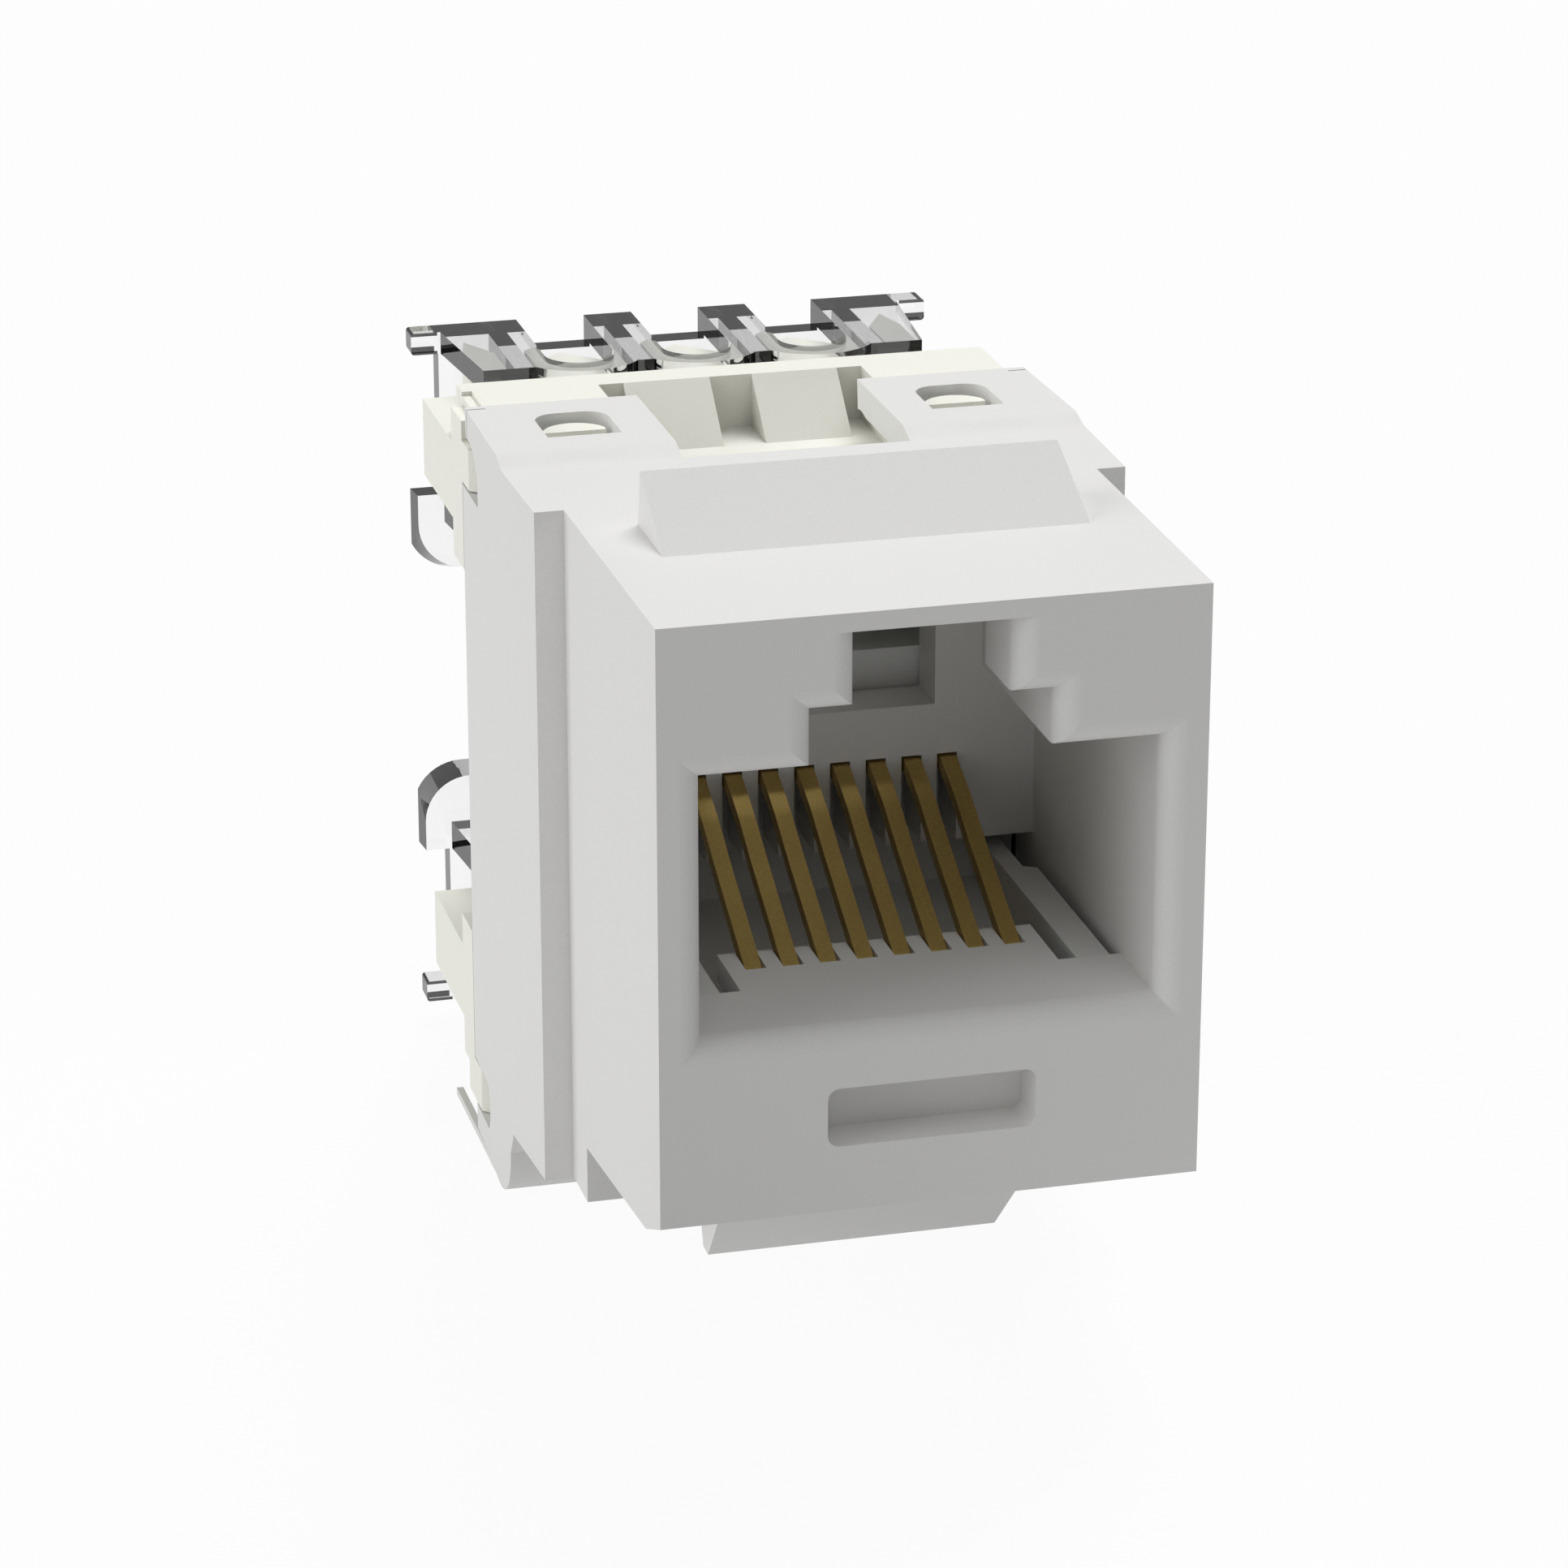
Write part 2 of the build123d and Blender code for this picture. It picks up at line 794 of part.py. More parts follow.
def tail_pocket():
    """Room in the block's front for the ends of the wire tails."""
    half = contact_places[-1] + tail_pocket_margin
    heights = (tail_height(1) - tail_pocket_margin, tail_height(0) + tail_pocket_margin)
    depth = block_front + pin_overhang + pin_room
    return along(oblong((-half, half), heights), block_front - overlap, depth)


def tower_block():
    """Ivory moulding: block in the shell, shelf, ramps, tabs, wings and both tower rows."""
    deck_front = lift_start + fit
    side_line = closed(
        (block_front, block_bottom),
        (block_rear, block_bottom),
        (block_rear, deck_top),
        (deck_front, deck_top),
        (deck_front, deck_under),
        (block_front, deck_under),
    )
    body = across(side_line, block_half) + shelf()
    recess = oblong((-recess_width / 2, recess_width / 2), (deck_floor, shelf_top + overlap))
    recess_rear = block_rear - recess_rear_wall
    body -= along(recess, deck_front - overlap, recess_rear)
    ramp_line = closed(
        (recess_rear, deck_floor), (recess_rear - ramp_length, deck_floor), (recess_rear, shelf_top)
    )
    ramp_face = Plane.YZ.offset(ramp_inner) * make_face(ramp_line)
    body += both_sides(extrude(ramp_face, ramp_outer - ramp_inner))
    body += snap_tab()
    body += wing((arm_top - arm_height, arm_top), (cheek_top - cheek_height, cheek_top))
    body += wing(
        (lower_arm_bottom, lower_arm_bottom + arm_height),
        (lower_cheek_bottom, lower_cheek_bottom + cheek_height),
    )
    foot_rear = shell_rear + foot_length
    body += side_band(
        closed(
            (wing_front, block_bottom),
            (foot_rear, block_bottom),
            (foot_rear, lower_cheek_bottom),
            (wing_front, lower_cheek_bottom),
        )
    )
    body += snap_catch(upper_notch_bottom + fit, upper_notch_top - catch_top_gap)
    body += snap_catch(block_bottom, lower_notch_top - fit)
    body -= tail_pocket()
    row = tower_row()
    body += row + below_middle(row)
    groove = wire_contact(fit)
    for x in blade_places:
        placed = Pos(x, 0, 0) * groove
        body -= placed
        body -= below_middle(placed)
    return body


def cap_plate(bottom, thickness):
    """Plate of a cap, a little narrower in front."""
    front_half = cap_half - cap_front_taper
    line = closed(
        (-cap_half, cap_rear), (cap_half, cap_rear), (front_half, cap_front), (-front_half, cap_front)
    )
    return upwards(line, bottom, bottom + thickness)


def cap_wall():
    """Rear wall of a cap between its grip and its hooks."""
    hook_half = cap_half + cap_hook_reach
    hook_middle = (cap_top + cap_plate_low) / 2
    hooks = Pos(0, hook_middle) * RectangleRounded(
        2 * hook_half, cap_plate_thickness, cap_hook_radius
    )
    waist = make_face(oblong((-cap_half, cap_half), (cap_inside_bottom - overlap, hook_middle)))
    return extrude(Plane.XZ.offset(-cap_inside_rear) * (hooks + waist), cap_rear_wall, dir=(0, 1, 0))


def grip_face(station, half, low, radius, kink):
    """Right half of the grip in one plane; the rounding meets the side at the kink's angle."""
    centre = (half - radius * cos(radians(kink)), low + radius)
    rounding = CenterArc(centre, radius, -90, 90 - kink)
    edge = Polyline(rounding @ 1, (half, cap_inside_bottom), (0, cap_inside_bottom), (0, low), rounding @ 0)
    return Plane.XZ.offset(-station) * make_face([rounding, edge])


def cap_grip():
    """Grip below the inner plate, which widens and deepens towards the rear."""
    half = cap_half + cap_grip_reach
    low = cap_inside_bottom - cap_grip_drop
    front = grip_face(cap_inside_rear, half, low, cap_grip_radius, 0)
    rear = grip_face(
        cap_rear,
        half + cap_grip_side_draft,
        low - cap_grip_low_draft,
        cap_grip_rear_radius,
        cap_grip_kink,
    )
    return both_sides(loft([front, rear], ruled=True))


def cap_notch():
    """Open notch in the cap over a tower, through the plate and the wall's top."""
    half = cap_notch_width / 2
    low = cap_top - cap_notch_wall_drop
    centre_y = block_rear + cap_notch_centre
    notch = Pos(0, centre_y, low) * extrude(Circle(half), cap_notch_wall_drop + overlap)
    return notch + along(oblong((-half, half), (low, cap_top + overlap)), centre_y, cap_rear + overlap)


def stuffers():
    """Ribs of a cap that press a wire down, above and below its blade."""
    sides = (-stuffer_width / 2, stuffer_width / 2)
    clear = blade_thickness / 2 + stuffer_gap
    front = cap_front + stuffer_setback
    upper = (row_height + clear, cap_top - cap_plate_thickness / 2)
    lower = (cap_inside_bottom - cap_inner_plate_thickness / 2, row_height - clear)
    return [along(oblong(sides, heights), front, cap_inside_rear) for heights in (upper, lower)]


def wire_cap():
    """Clear cap of the upper row: two plates, rear wall, notches and wire stuffers."""
    body = cap_wall() + cap_grip()
    body += cap_plate(cap_plate_low, cap_plate_thickness)
    body += cap_plate(cap_inside_bottom - cap_inner_plate_thickness, cap_inner_plate_thickness)
    lobe = extrude(Circle(cap_lobe_radius), cap_plate_thickness)
    for x in tower_places:
        body += Pos(x, block_rear + cap_notch_centre, cap_plate_low) * lobe
    for x in tower_places:
        body -= Pos(x, 0, 0) * cap_notch()
    for rib in stuffers():
        for x in blade_places:
            body += Pos(x, 0, 0) * rib
    return body


os.makedirs("parts", exist_ok=True)

export_step(housing(), "parts/housing.step")
export_step(contact_carrier(), "parts/contact_carrier.step")
export_step(circuit_board(), "parts/circuit_board.step")
export_step(tower_block(), "parts/tower_block.step")

for index, x in enumerate(contact_places):
    wire = Pos(x, 0, 0) * wire_form(tail_height(index))
    export_step(wire, f"parts/plug_contact_{index + 1}.step")

for index, x in enumerate(blade_places):
    blade = Pos(x, 0, 0) * wire_contact()
    export_step(blade, f"parts/wire_contact_{index + 1}.step")
    export_step(below_middle(blade), f"parts/wire_contact_{index + 1 + row_contacts}.step")

cap = wire_cap()
export_step(cap, "parts/upper_wire_cap.step")
export_step(below_middle(cap), "parts/lower_wire_cap.step")
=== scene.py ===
import bpy
import math
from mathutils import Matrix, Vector


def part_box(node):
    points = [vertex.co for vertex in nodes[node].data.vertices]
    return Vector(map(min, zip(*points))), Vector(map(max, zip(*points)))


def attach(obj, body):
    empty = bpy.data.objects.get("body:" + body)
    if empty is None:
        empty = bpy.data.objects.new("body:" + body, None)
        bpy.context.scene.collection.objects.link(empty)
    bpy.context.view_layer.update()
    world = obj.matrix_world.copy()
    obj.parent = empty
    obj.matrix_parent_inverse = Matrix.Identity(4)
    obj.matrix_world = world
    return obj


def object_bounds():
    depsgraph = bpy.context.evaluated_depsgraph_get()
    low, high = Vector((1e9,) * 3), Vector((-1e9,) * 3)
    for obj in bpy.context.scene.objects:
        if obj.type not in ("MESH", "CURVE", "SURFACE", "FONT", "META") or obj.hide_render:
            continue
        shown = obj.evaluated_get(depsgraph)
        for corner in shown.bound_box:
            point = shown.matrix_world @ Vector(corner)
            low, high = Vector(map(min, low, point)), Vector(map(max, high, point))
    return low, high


# keystone jack: satin plastic mouldings, clear wire caps, gilt spring wires
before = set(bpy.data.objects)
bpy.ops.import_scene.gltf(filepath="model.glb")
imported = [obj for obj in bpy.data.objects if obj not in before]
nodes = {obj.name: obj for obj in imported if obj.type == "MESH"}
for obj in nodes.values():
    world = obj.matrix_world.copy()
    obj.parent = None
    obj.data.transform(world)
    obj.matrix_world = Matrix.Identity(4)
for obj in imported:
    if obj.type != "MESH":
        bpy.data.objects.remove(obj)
cadLow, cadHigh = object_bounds()
print("frame loaded,", len(nodes), "nodes")


def newMaterial(name):
    material = bpy.data.materials.new(name)
    material.use_nodes = True
    tree = material.node_tree
    tree.nodes.clear()
    output = tree.nodes.new("ShaderNodeOutputMaterial")
    return material, tree, output


def mathOf(tree, operation, *values):
    # a math node with its numbers set and its links made
    node = tree.nodes.new("ShaderNodeMath")
    node.operation = operation
    for socket, value in zip(node.inputs, values):
        if isinstance(value, bpy.types.NodeSocket):
            tree.links.new(value, socket)
        else:
            socket.default_value = value
    return node.outputs[0]


grainNoise = {
    "detail": 3.0,
    "shadeEnd": 0.35,  # below this level of the noise all is shade
    "colourStart": 0.65,  # and above this one all is colour
    "bumpShare": 0.2,  # height of the bumps as a share of the grain's size
}


def grainColour(tree, settings):
    # two tones mixed by a fine noise that sits on the object
    place = tree.nodes.new("ShaderNodeTexCoord")
    noise = tree.nodes.new("ShaderNodeTexNoise")
    noise.inputs["Scale"].default_value = 1.0 / settings["grain"]
    noise.inputs["Detail"].default_value = grainNoise["detail"]
    ramp = tree.nodes.new("ShaderNodeValToRGB")
    shadeStop, colourStop = ramp.color_ramp.elements
    shadeStop.position = grainNoise["shadeEnd"]
    shadeStop.color = (*settings["shade"], 1)
    colourStop.position = grainNoise["colourStart"]
    colourStop.color = (*settings["colour"], 1)
    tree.links.new(place.outputs["Object"], noise.inputs["Vector"])
    tree.links.new(noise.outputs["Fac"], ramp.inputs["Fac"])
    bump = tree.nodes.new("ShaderNodeBump")
    bump.inputs["Strength"].default_value = settings["bump"]
    bump.inputs["Distance"].default_value = settings["grain"] * grainNoise["bumpShare"]
    tree.links.new(noise.outputs["Fac"], bump.inputs["Height"])
    return ramp.outputs["Color"], bump.outputs["Normal"]


def paintCreviceShade(tree, colour, settings):
    # painted shade: deep corners of the moulding are a little darker, as far as an ambient occlusion
    # node finds them hidden
    depth = tree.nodes.new("ShaderNodeAmbientOcclusion")
    depth.samples = settings["creviceSamples"]
    depth.only_local = True
    depth.inputs["Distance"].default_value = settings["creviceReach"]
    share = tree.nodes.new("ShaderNodeMapRange")
    share.inputs["To Min"].default_value = 1 - settings["creviceShade"]
    tree.links.new(depth.outputs["AO"], share.inputs["Value"])
    darker = tree.nodes.new("ShaderNodeVectorMath")
    darker.operation = "SCALE"
    tree.links.new(colour, darker.inputs[0])
    tree.links.new(share.outputs["Result"], darker.inputs["Scale"])
    return darker.outputs[0]


def mouldedPlastic(settings):
    material, tree, output = newMaterial(settings["name"])
    shader = tree.nodes.new("ShaderNodeBsdfPrincipled")
    shader.inputs["Roughness"].default_value = settings["roughness"]
    shader.inputs["Specular IOR Level"].default_value = settings["specular"]
    colour, normal = grainColour(tree, settings)
    if "creviceReach" in settings:
        colour = paintCreviceShade(tree, colour, settings)
    tree.links.new(colour, shader.inputs["Base Color"])
    tree.links.new(normal, shader.inputs["Normal"])
    tree.links.new(shader.outputs["BSDF"], output.inputs["Surface"])
    return material


def platedMetal(settings):
    material, tree, output = newMaterial(settings["name"])
    shader = tree.nodes.new("ShaderNodeBsdfPrincipled")
    shader.inputs["Metallic"].default_value = 1.0
    shader.inputs["Roughness"].default_value = settings["roughness"]
    colour, normal = grainColour(tree, settings)
    tree.links.new(colour, shader.inputs["Base Color"])
    tree.links.new(normal, shader.inputs["Normal"])
    tree.links.new(shader.outputs["BSDF"], output.inputs["Surface"])
    return material


# lengths are in metres, grain is the size of the noise
clearPlastic = {
    "name": "clearCaps",
    "roughness": 0.0,
    "ior": 1.49,
    "bodyColour": (0.5, 0.5, 0.5),
    "density": 120.0,  # per metre, darkens the long ways through the edges
    "mostFaces": 4.5,  # a ray that has met more faces than this goes dark
    "mostReflections": 1.5,  # and so does one reflected more often
    "lostColour": (0.02, 0.02, 0.02),
    "passingColour": (0.7, 0.7, 0.7),  # what each face lets through to the pieces inside
    # painted shade: near-black base colour of the caps' rims, hook undersides and hook outlines
    "paintedRimShadeColour": (0.01, 0.01, 0.01),
    "facing": 0.35,  # a face whose normal leans further to the side than this is a side face
    "square": 0.65,  # one whose normal lies further along an axis than this is square to it
    "hookReach": 0.00079,  # how far the hooks stand out from the plates' sides
    "lobeShare": 0.9,  # of the plates' half width, the round lobes end inside it
    "frontPlace": 0.00515,  # from the caps' rear faces forwards to the plates' front edges
    "frontReach": 0.00006,
    "notchPlace": 0.00265,  # from the rear faces forwards, the notches' sides are rims behind it
    "gripHeight": 0.0016475,
    "plateThickness": 0.00066,
    # painted shade: its share under the hooks, and the half height of the hooks' dark outlines
    "hookShade": 0.6,  # share of the tint under the hooks
    "outline": 0.0001,
}


def paintedRimShadeMask(tree, settings):
    # painted shade: 1 on the narrow faces at the walls' ends, where the way through is long; these
    # are painted near black in place of the light lost inside the walls
    def maths(operation, *values):
        return mathOf(tree, operation, *values)

    upperLow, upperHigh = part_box("upper_wire_cap")
    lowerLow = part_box("lower_wire_cap")[0]
    middle = (upperHigh[2] + lowerLow[2]) / 2
    gripReach = upperLow[2] - middle + settings["gripHeight"]
    hookFar = upperHigh[2] - middle
    hookNear = hookFar - settings["plateThickness"]
    plateHalf = upperHigh[0] - settings["hookReach"]
    plateFront = upperHigh[1] - settings["frontPlace"]
    notchRear = upperHigh[1] - settings["notchPlace"]

    place = tree.nodes.new("ShaderNodeTexCoord")
    where = tree.nodes.new("ShaderNodeSeparateXYZ")
    tree.links.new(place.outputs["Object"], where.inputs[0])
    geometry = tree.nodes.new("ShaderNodeNewGeometry")
    facing = tree.nodes.new("ShaderNodeSeparateXYZ")
    tree.links.new(geometry.outputs["True Normal"], facing.inputs[0])
    across = maths("ABSOLUTE", where.outputs["X"])
    sideways = maths("ABSOLUTE", facing.outputs["X"])
    lengthways = maths("ABSOLUTE", facing.outputs["Y"])
    # side faces, except on the round lobes in the middle
    outer = maths("GREATER_THAN", across, plateHalf * settings["lobeShare"])
    behind = maths("GREATER_THAN", where.outputs["Y"], notchRear)
    aside = maths("GREATER_THAN", sideways, settings["facing"])
    side = maths("MULTIPLY", aside, maths("MAXIMUM", outer, behind))
    # all edges of the two grips
    away = maths("ABSOLUTE", maths("SUBTRACT", where.outputs["Z"], middle))
    grip = maths("LESS_THAN", away, gripReach)
    gripEdge = maths("MULTIPLY", maths("LESS_THAN", lengthways, settings["square"]), grip)
    # front edges of the plates
    front = maths("COMPARE", where.outputs["Y"], plateFront, settings["frontReach"])
    frontEdge = maths("MULTIPLY", maths("GREATER_THAN", lengthways, settings["square"]), front)
    # painted shade on the undersides of the hooks, less strongly
    hook = maths("GREATER_THAN", across, plateHalf)
    under = maths("LESS_THAN", facing.outputs["Z"], -settings["square"])
    hookFoot = maths("MULTIPLY", maths("MULTIPLY", hook, under), settings["hookShade"])
    # painted dark upper and lower outlines of the hooks
    near = maths("COMPARE", away, hookNear, settings["outline"])
    far = maths("COMPARE", away, hookFar, settings["outline"])
    upright = maths("LESS_THAN", maths("ABSOLUTE", facing.outputs["Z"]), settings["square"])
    hookRim = maths("MULTIPLY", maths("MULTIPLY", hook, upright), maths("MAXIMUM", near, far))
    edges = maths("MAXIMUM", maths("MAXIMUM", side, gripEdge), maths("MAXIMUM", frontEdge, hookFoot))
    return maths("MAXIMUM", edges, hookRim)


def clearMoulding(settings):
    material, tree, output = newMaterial(settings["name"])
    shader = tree.nodes.new("ShaderNodeBsdfPrincipled")
    # painted shade: the rims' base colour goes near black, darkening the light through them
    paintedRimTint = tree.nodes.new("ShaderNodeMix")
    paintedRimTint.data_type = "RGBA"
    paintedRimTint.inputs["A"].default_value = (1, 1, 1, 1)
    paintedRimTint.inputs["B"].default_value = (*settings["paintedRimShadeColour"], 1)
    tree.links.new(paintedRimShadeMask(tree, settings), paintedRimTint.inputs["Factor"])
    tree.links.new(paintedRimTint.outputs["Result"], shader.inputs["Base Color"])
    shader.inputs["Transmission Weight"].default_value = 1.0
    shader.inputs["Roughness"].default_value = settings["roughness"]
    shader.inputs["IOR"].default_value = settings["ior"]
    body = tree.nodes.new("ShaderNodeVolumeAbsorption")
    body.inputs["Color"].default_value = (*settings["bodyColour"], 1)
    body.inputs["Density"].default_value = settings["density"]
    # rays caught between the faces go dark
    rays = tree.nodes.new("ShaderNodeLightPath").outputs
    caught = mathOf(tree, "GREATER_THAN", rays["Glossy Depth"], settings["mostReflections"])
    deep = mathOf(tree, "GREATER_THAN", rays["Ray Depth"], settings["mostFaces"])
    dark = tree.nodes.new("ShaderNodeBsdfDiffuse")
    dark.inputs["Color"].default_value = (*settings["lostColour"], 1)
    seen = tree.nodes.new("ShaderNodeMixShader")
    tree.links.new(mathOf(tree, "MAXIMUM", caught, deep), seen.inputs["Fac"])
    tree.links.new(shader.outputs["BSDF"], seen.inputs[1])
    tree.links.new(dark.outputs["BSDF"], seen.inputs[2])
    # and rays that light the pieces inside pass
    passing = tree.nodes.new("ShaderNodeBsdfTransparent")
    passing.inputs["Color"].default_value = (*settings["passingColour"], 1)
    lighting = mathOf(tree, "MAXIMUM", rays["Is Shadow Ray"], rays["Is Diffuse Ray"])
    either = tree.nodes.new("ShaderNodeMixShader")
    tree.links.new(lighting, either.inputs["Fac"])
    tree.links.new(seen.outputs["Shader"], either.inputs[1])
    tree.links.new(passing.outputs["BSDF"], either.inputs[2])
    tree.links.new(either.outputs["Shader"], output.inputs["Surface"])
    tree.links.new(body.outputs["Volume"], output.inputs["Volume"])
    return material


def dress(node, material):
    mesh = nodes[node].data
    mesh.materials.clear()
    mesh.materials.append(material)
    for face in mesh.polygons:
        face.material_index = 0


whitePlastic = {
    "name": "whiteHousing",
    "colour": (0.815, 0.81, 0.795),
    "shade": (0.785, 0.78, 0.765),
    "roughness": 0.55,
    "specular": 0.2,
    "grain": 0.00006,
    "bump": 0.08,
}

carrierPlastic = {
    "name": "whiteCarrier",
    "colour": (0.78, 0.78, 0.765),
    "shade": (0.74, 0.74, 0.725),
    "roughness": 0.55,
    "specular": 0.2,
    "grain": 0.00006,
    "bump": 0.08,
}

ivoryPlastic = {
    "name": "ivoryTowers",
    "colour": (0.93, 0.93, 0.855),
    "shade": (0.9, 0.9, 0.82),
    "roughness": 0.55,
    "specular": 0.2,
    "grain": 0.00006,
    "bump": 0.08,
    # painted shade in the towers' deep corners: its reach, its strength and the node's samples
    "creviceReach": 0.004,
    "creviceShade": 0.3,
    "creviceSamples": 8,
}

giltWire = {
    "name": "giltWire",
    "colour": (0.54, 0.39, 0.135),
    "shade": (0.48, 0.345, 0.115),
    "roughness": 0.5,
    "grain": 0.00008,
    "bump": 0.04,
}

tinnedBlade = {
    "name": "tinnedBlade",
    "colour": (0.72, 0.72, 0.71),
    "shade": (0.6, 0.6, 0.59),
    "roughness": 0.32,
    "grain": 0.0003,
    "bump": 0.05,
}

boardLaminate = {
    "name": "boardLaminate",
    "colour": (0.025, 0.09, 0.05),
    "shade": (0.02, 0.06, 0.035),
    "roughness": 0.38,
    "specular": 0.5,
    "grain": 0.0008,
    "bump": 0.04,
}

white = mouldedPlastic(whitePlastic)
carrierWhite = mouldedPlastic(carrierPlastic)
ivory = mouldedPlastic(ivoryPlastic)
clear = clearMoulding(clearPlastic)
gilt = platedMetal(giltWire)
tinned = platedMetal(tinnedBlade)
laminate = mouldedPlastic(boardLaminate)

finishes = {
    "housing": white,
    "contact_carrier": carrierWhite,
    "tower_block": ivory,
    "circuit_board": laminate,
    "upper_wire_cap": clear,
    "lower_wire_cap": clear,
}
for node in nodes:
    if node.startswith("plug_contact"):
        finishes[node] = gilt
    if node.startswith("wire_contact"):
        finishes[node] = tinned
for node, material in finishes.items():
    dress(node, material)
print("finishes set on", len(finishes), "nodes")


def coneTree(material):
    # one solder cone on each point, its axis towards the rear
    tree = bpy.data.node_groups.new("solderCones", "GeometryNodeTree")
    sockets = tree.interface
    sockets.new_socket("Points", in_out="INPUT", socket_type="NodeSocketGeometry")
    for name in ("Foot Radius", "Tip Radius", "Height"):
        sockets.new_socket(name, in_out="INPUT", socket_type="NodeSocketFloat")
    sockets.new_socket("Sides", in_out="INPUT", socket_type="NodeSocketInt")
    sockets.new_socket("Cones", in_out="OUTPUT", socket_type="NodeSocketGeometry")
    inputs = tree.nodes.new("NodeGroupInput")
    outputs = tree.nodes.new("NodeGroupOutput")
    cone = tree.nodes.new("GeometryNodeMeshCone")
    turn = tree.nodes.new("GeometryNodeTransform")
    turn.inputs["Rotation"].default_value = (-math.pi / 2, 0, 0)
    place = tree.nodes.new("GeometryNodeInstanceOnPoints")
    real = tree.nodes.new("GeometryNodeRealizeInstances")
    paint = tree.nodes.new("GeometryNodeSetMaterial")
    paint.inputs["Material"].default_value = material
    tree.links.new(inputs.outputs["Foot Radius"], cone.inputs["Radius Bottom"])
    tree.links.new(inputs.outputs["Tip Radius"], cone.inputs["Radius Top"])
    tree.links.new(inputs.outputs["Height"], cone.inputs["Depth"])
    tree.links.new(inputs.outputs["Sides"], cone.inputs["Vertices"])
    tree.links.new(cone.outputs["Mesh"], turn.inputs["Geometry"])
    tree.links.new(inputs.outputs["Points"], place.inputs["Points"])
    tree.links.new(turn.outputs["Geometry"], place.inputs["Instance"])
    tree.links.new(place.outputs["Instances"], real.inputs["Geometry"])
    tree.links.new(real.outputs["Geometry"], paint.inputs["Geometry"])
    tree.links.new(paint.outputs["Geometry"], outputs.inputs["Cones"])
    return tree


# lengths are in metres
solderJoint = {
    "name": "solderJoint",
    "colour": (0.7, 0.71, 0.72),
    "shade": (0.58, 0.59, 0.6),
    "roughness": 0.28,
    "grain": 0.0002,
    "bump": 0.06,
    "footRadius": 0.00052,
    "tipRadius": 0.00022,
    "height": 0.0003,
    "sides": 24,
}


def tailPoints(settings):
    # where each wire's tail comes out of the board's rear face
    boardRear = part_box("circuit_board")[1][1]
    points = []
    for node in sorted(nodes):
        if node.startswith("plug_contact"):
            low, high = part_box(node)
            tipStart = high[1] - settings["height"]
            heights = [v.co.z for v in nodes[node].data.vertices if v.co.y > tipStart]
            points.append(((low[0] + high[0]) / 2, boardRear, (min(heights) + max(heights)) / 2))
    return points


def buildSolderJoints(settings):
    mesh = bpy.data.meshes.new("solderPoints")
    mesh.from_pydata(tailPoints(settings), [], [])
    source = bpy.data.objects.new("solderPoints", mesh)
    bpy.context.scene.collection.objects.link(source)
    tree = coneTree(platedMetal(settings))
    modifier = source.modifiers.new("cones", "NODES")
    modifier.node_group = tree
    values = {
        "Foot Radius": settings["footRadius"],
        "Tip Radius": settings["tipRadius"],
        "Height": settings["height"],
        "Sides": settings["sides"],
    }
    for item in tree.interface.items_tree:
        if item.name in values:
            modifier[item.identifier] = values[item.name]
    evaluated = source.evaluated_get(bpy.context.evaluated_depsgraph_get())
    joints = bpy.data.objects.new("solderJoints", bpy.data.meshes.new_from_object(evaluated))
    source.modifiers.clear()
    bpy.data.objects.remove(source)
    bpy.context.scene.collection.objects.link(joints)
    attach(joints, "root")
    return joints


joints = buildSolderJoints(solderJoint)
print("solder joints placed,", len(joints.data.polygons), "faces")


backdrop = {
    "colour": (1.0, 1.0, 1.0),
    "glossShare": 0.35,  # how much of the white reflections show
    "ambientColour": (1.0, 1.0, 1.0),
    "ambient": 0.09,  # what the plastic sees of the world
}


def backdropRays(tree):
    # 1 for camera and transmission rays, glossShare for glossy ones, else 0
    rays = tree.nodes.new("ShaderNodeLightPath").outputs
    seen = mathOf(tree, "MAXIMUM", rays["Is Camera Ray"], rays["Is Transmission Ray"])
    gloss = mathOf(tree, "MULTIPLY", rays["Is Glossy Ray"], backdrop["glossShare"])
    return mathOf(tree, "MAXIMUM", seen, gloss)


# lengths are in metres
paleFloor = {
    "colour": (0.75, 0.75, 0.75),
    "glow": 0.75,  # what the plastic sees of the floor, apart from its shadow
    "glowShare": 0.8,
    "shadowShare": 0.06,
    "size": 1.2,
    "gap": 0.0002,
}


def buildFloor(settings):
    half = settings["size"] / 2
    z = cadLow.z - settings["gap"]
    mesh = bpy.data.meshes.new("floor")
    corners = [(-half, -half, z), (half, -half, z), (half, half, z), (-half, half, z)]
    mesh.from_pydata(corners, [], [(0, 1, 2, 3)])
    floor = bpy.data.objects.new("floor", mesh)
    bpy.context.scene.collection.objects.link(floor)
    material, tree, output = newMaterial("paleFloor")
    paint = tree.nodes.new("ShaderNodeBsdfDiffuse")
    paint.inputs["Color"].default_value = (*settings["colour"], 1)
    glow = tree.nodes.new("ShaderNodeEmission")
    glow.inputs["Color"].default_value = (*backdrop["colour"], 1)
    diffuse = tree.nodes.new("ShaderNodeLightPath").outputs["Is Diffuse Ray"]
    strength = mathOf(tree, "MULTIPLY_ADD", diffuse, settings["glow"] - 1, 1.0)
    tree.links.new(strength, glow.inputs["Strength"])
    shown = mathOf(tree, "MULTIPLY", backdropRays(tree), 1 - settings["shadowShare"])
    bounced = mathOf(tree, "MULTIPLY", diffuse, settings["glowShare"])
    mix = tree.nodes.new("ShaderNodeMixShader")
    tree.links.new(mathOf(tree, "MAXIMUM", shown, bounced), mix.inputs["Fac"])
    tree.links.new(paint.outputs["BSDF"], mix.inputs[1])
    tree.links.new(glow.outputs["Emission"], mix.inputs[2])
    tree.links.new(mix.outputs["Shader"], output.inputs["Surface"])
    mesh.materials.append(material)


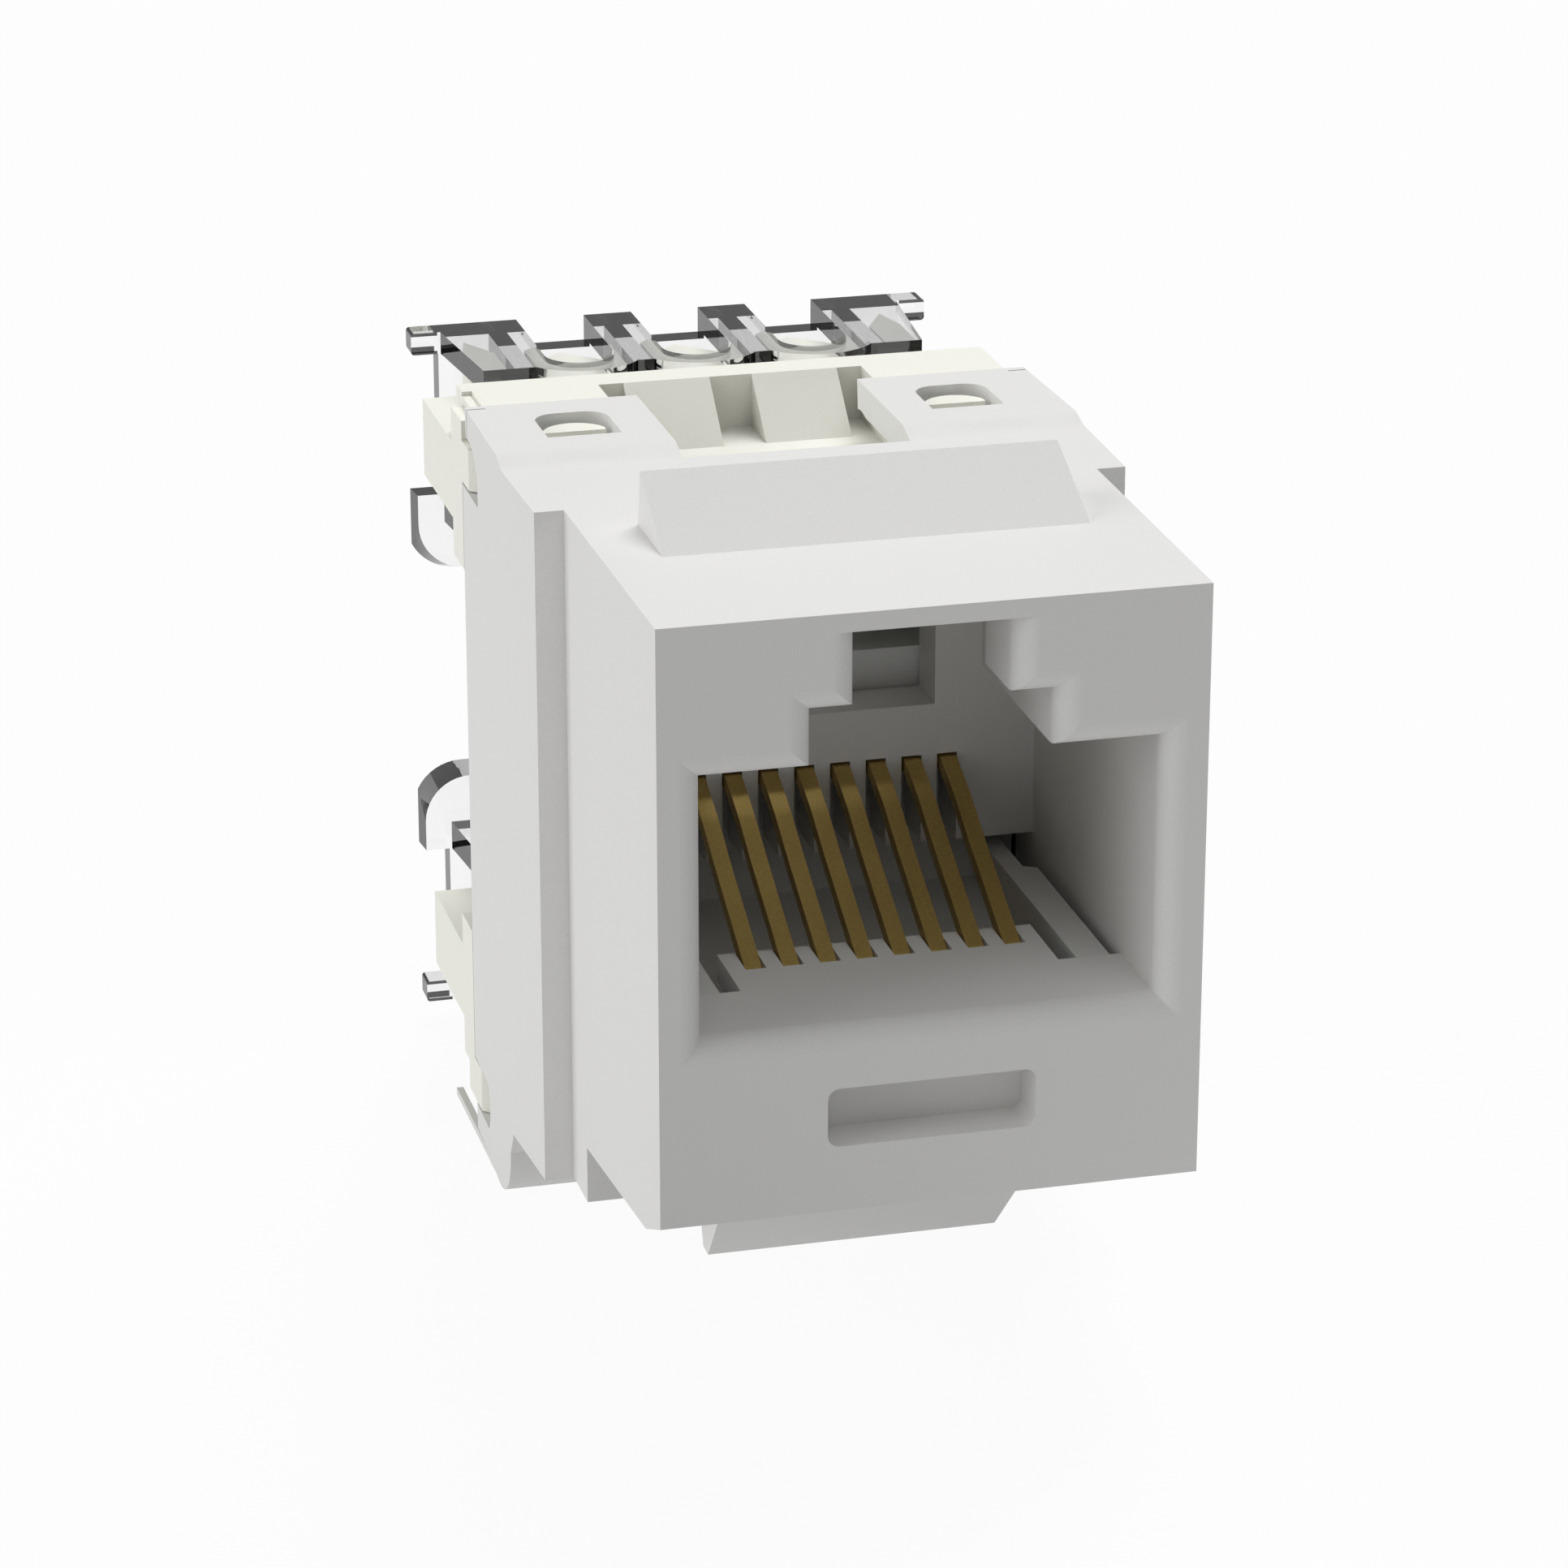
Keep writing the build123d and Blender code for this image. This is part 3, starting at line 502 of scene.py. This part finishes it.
def buildWorld(settings):
    world = bpy.data.worlds.new("studio")
    bpy.context.scene.world = world
    world.use_nodes = True
    tree = world.node_tree
    tree.nodes.clear()
    output = tree.nodes.new("ShaderNodeOutputWorld")
    soft = tree.nodes.new("ShaderNodeBackground")
    soft.inputs["Color"].default_value = (*settings["ambientColour"], 1)
    soft.inputs["Strength"].default_value = settings["ambient"]
    shown = tree.nodes.new("ShaderNodeBackground")
    shown.inputs["Color"].default_value = (*settings["colour"], 1)
    shown.inputs["Strength"].default_value = 1.0
    mix = tree.nodes.new("ShaderNodeMixShader")
    tree.links.new(backdropRays(tree), mix.inputs["Fac"])
    tree.links.new(soft.outputs["Background"], mix.inputs[1])
    tree.links.new(shown.outputs["Background"], mix.inputs[2])
    tree.links.new(mix.outputs["Shader"], output.inputs["Surface"])


# directions point from the object to the lamp, angles are in degrees
lamps = [
    {"name": "topLight", "strength": 2.15, "angle": 40.0, "from": (0.35, 0.5, 0.88)},
    {"name": "frontLight", "strength": 0.58, "angle": 60.0, "from": (0.1, -0.55, 0.83)},
    {"name": "sideLight", "strength": 2.1, "angle": 70.0, "from": (-0.95, 0.1, 0.2)},
]


def buildLamp(settings):
    data = bpy.data.lights.new(settings["name"], "SUN")
    data.energy = settings["strength"]
    data.angle = math.radians(settings["angle"])
    lamp = bpy.data.objects.new(settings["name"], data)
    bpy.context.scene.collection.objects.link(lamp)
    lamp.rotation_mode = "QUATERNION"
    lamp.rotation_quaternion = Vector(settings["from"]).to_track_quat("Z", "Y")


# places are in metres, the lens and the sensor's width in millimetres
view = {
    "position": (-0.035611, -0.12218, 0.050972),
    "direction": (0.23484, 0.90675, -0.35023),
    "lens": 123.4,
    "sensor": 36.0,
    "near": 0.005,
    "far": 5.0,
}


def buildCamera(settings):
    data = bpy.data.cameras.new("camera")
    data.lens = settings["lens"]
    data.sensor_width = settings["sensor"]
    data.clip_start = settings["near"]
    data.clip_end = settings["far"]
    camera = bpy.data.objects.new("camera", data)
    bpy.context.scene.collection.objects.link(camera)
    camera.location = settings["position"]
    camera.rotation_mode = "QUATERNION"
    camera.rotation_quaternion = Vector(settings["direction"]).to_track_quat("-Z", "Y")
    bpy.context.scene.camera = camera


buildFloor(paleFloor)
buildWorld(backdrop)
for lamp in lamps:
    buildLamp(lamp)
buildCamera(view)
bpy.context.scene.view_settings.view_transform = "Standard"
print("floor, light and camera in place")
